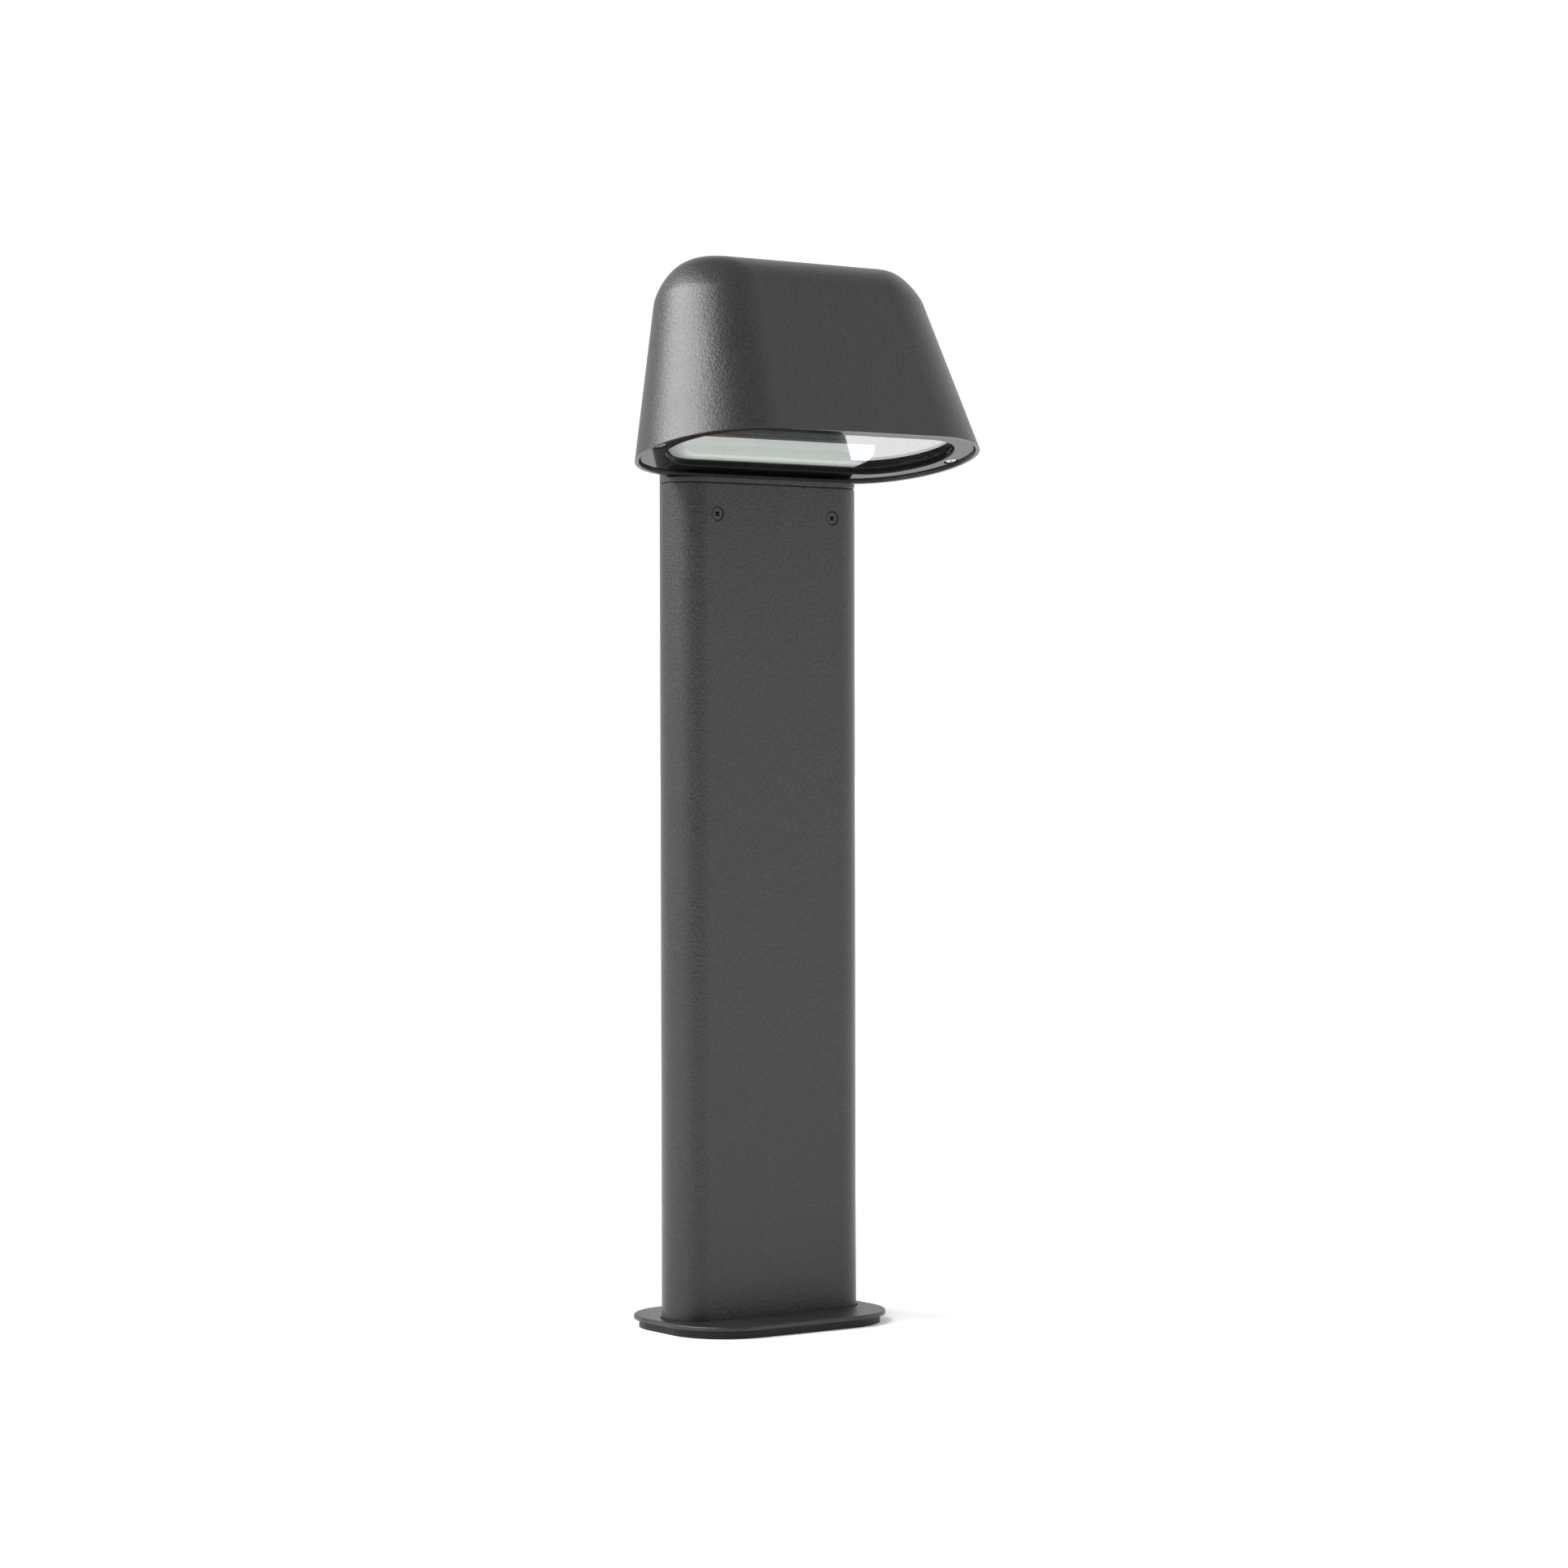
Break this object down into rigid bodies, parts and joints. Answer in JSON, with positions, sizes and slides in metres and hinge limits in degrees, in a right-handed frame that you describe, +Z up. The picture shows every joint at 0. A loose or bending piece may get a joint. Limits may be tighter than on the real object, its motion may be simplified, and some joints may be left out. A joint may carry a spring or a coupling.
{
  "type": "bollard light",
  "caption": "Low outdoor bollard light: a hooded head hangs in front of a flat-sided post on a foot with a loose cover plate.",
  "frame": {"origin": "on the ground under the centre of the post, at the centre of the anchor holes", "axes": "+Z up the post, -Y to the front that the light falls on, X along the width"},
  "size_m": [0.2318, 0.1635, 0.6482],
  "materials": {
    "anthracite_coat": "fine textured powder coat, satin",
    "foot_coat": "fine textured powder coat, satin, darker",
    "dark_screw": "black-passivated steel",
    "zinc_steel": "zinc plated",
    "bright_steel": "stainless",
    "black_rubber": "matt",
    "gloss_ring": "high gloss",
    "clear_glass": "polished",
    "opal": "opal",
    "board_white": "solder mask",
    "led_yellow": "phosphor",
    "bare_aluminium": "mill finish",
    "grey_lead": "silicone sheath",
    "brown_lead": "PVC sheath",
    "green_lead": "PVC sheath",
    "driver_plastic": "moulded",
    "circuit_green": "solder mask",
    "terminal_white": "moulded",
    "brass": "turned"
  },
  "bodies": {
    "bollard": {"head_housing": "anthracite_coat", "post": "anthracite_coat", "anchor_foot": "foot_coat", "collar_screws": "dark_screw", "foot_screws": "zinc_steel", "cable_grommet": "black_rubber", "collar_gasket": "black_rubber", "glass_frame": "gloss_ring", "frame_screws": "bright_steel", "frame_gasket": "black_rubber", "glass_gasket": "black_rubber", "window_glass": "clear_glass", "led_diffuser": "opal", "led_board": "board_white", "led_chips": "led_yellow", "board_screws": "bright_steel", "led_bracket": "bare_aluminium", "bracket_screws": "bright_steel", "head_grommet": "black_rubber", "led_lead": "grey_lead", "gear_tray": "zinc_steel", "tray_screws": "bright_steel", "driver_case": "driver_plastic", "driver_lid": "driver_plastic", "driver_circuit": "circuit_green", "driver_screws": "bright_steel", "terminal_block": "terminal_white", "terminal_sleeves": "brass", "terminal_screws": "zinc_steel", "block_screws": "bright_steel", "mains_leads": "brown_lead", "earth_lead": "green_lead", "earth_lug": "brass", "earth_washer": "zinc_steel", "earth_screw": "bright_steel"},
    "cover": {"base_cover": "anthracite_coat"}
  },
  "joints": [
    {"name": "cover_slide", "type": "slide", "parent": "bollard", "child": "cover", "axis": [0, 0, 1], "range_m": [0, 0.5]}
  ]
}
